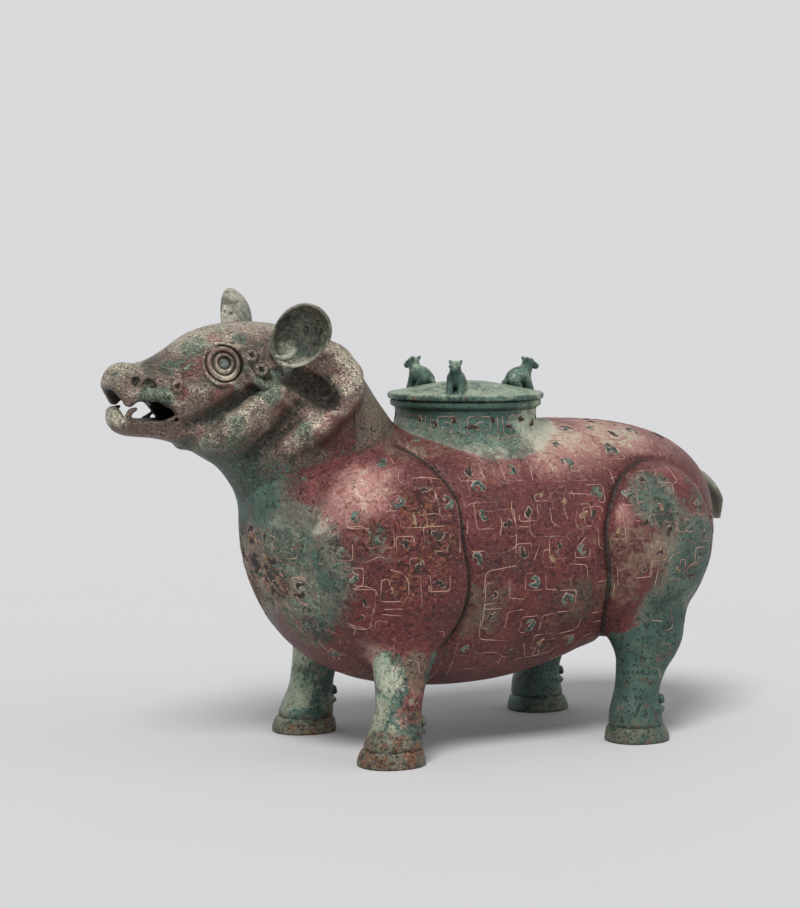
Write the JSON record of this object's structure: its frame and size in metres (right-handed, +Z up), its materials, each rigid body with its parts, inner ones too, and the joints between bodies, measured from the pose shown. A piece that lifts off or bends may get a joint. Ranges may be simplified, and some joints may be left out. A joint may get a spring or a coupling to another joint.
{
  "type": "animal-shaped wine vessel",
  "caption": "Hollow cast bronze wine vessel shaped as a standing animal, filled through a lidded collar on its back and poured from its open mouth.",
  "frame": {"origin": "on the ground plane, below the middle of the vessel's length and width", "axes": "+X runs along the animal towards its tail, so the head points along -X; +Y is the animal's right side; +Z is up"},
  "size_m": [0.4182, 0.1572, 0.2742],
  "materials": {
    "red_bronze": "leaded bronze under a rose-red to brick-red copper patina with fine incised lines, mottled brown and green, dull satin",
    "green_bronze": "leaded bronze under a pale grey-green malachite patina with teal patches, matt",
    "brown_bronze": "leaded bronze under a grey-brown earthy patina with teal in the recesses, matt",
    "pupil_stone": "polished pale blue-grey stone inlay",
    "casting_clay": "dark fired casting clay left inside the legs"
  },
  "bodies": {
    "vessel": {"body_shell": "red_bronze", "neck_and_head": "red_bronze", "ear_left": "brown_bronze", "ear_right": "brown_bronze", "eye_left": "red_bronze", "eye_right": "red_bronze", "pupil_left": "pupil_stone", "pupil_right": "pupil_stone", "leg_front_left": "green_bronze", "leg_front_right": "green_bronze", "leg_rear_left": "green_bronze", "leg_rear_right": "green_bronze", "core_front_left": "casting_clay", "core_front_right": "casting_clay", "core_rear_left": "casting_clay", "core_rear_right": "casting_clay", "tail": "brown_bronze", "collar": "green_bronze"},
    "lid": {"lid": "green_bronze", "lid_beast_1": "green_bronze", "lid_beast_2": "green_bronze", "lid_beast_3": "green_bronze"}
  },
  "joints": [
    {"name": "lid_lift", "type": "slide", "parent": "vessel", "child": "lid", "axis": [0, 0, 1], "range_m": [0, 0.06]}
  ]
}
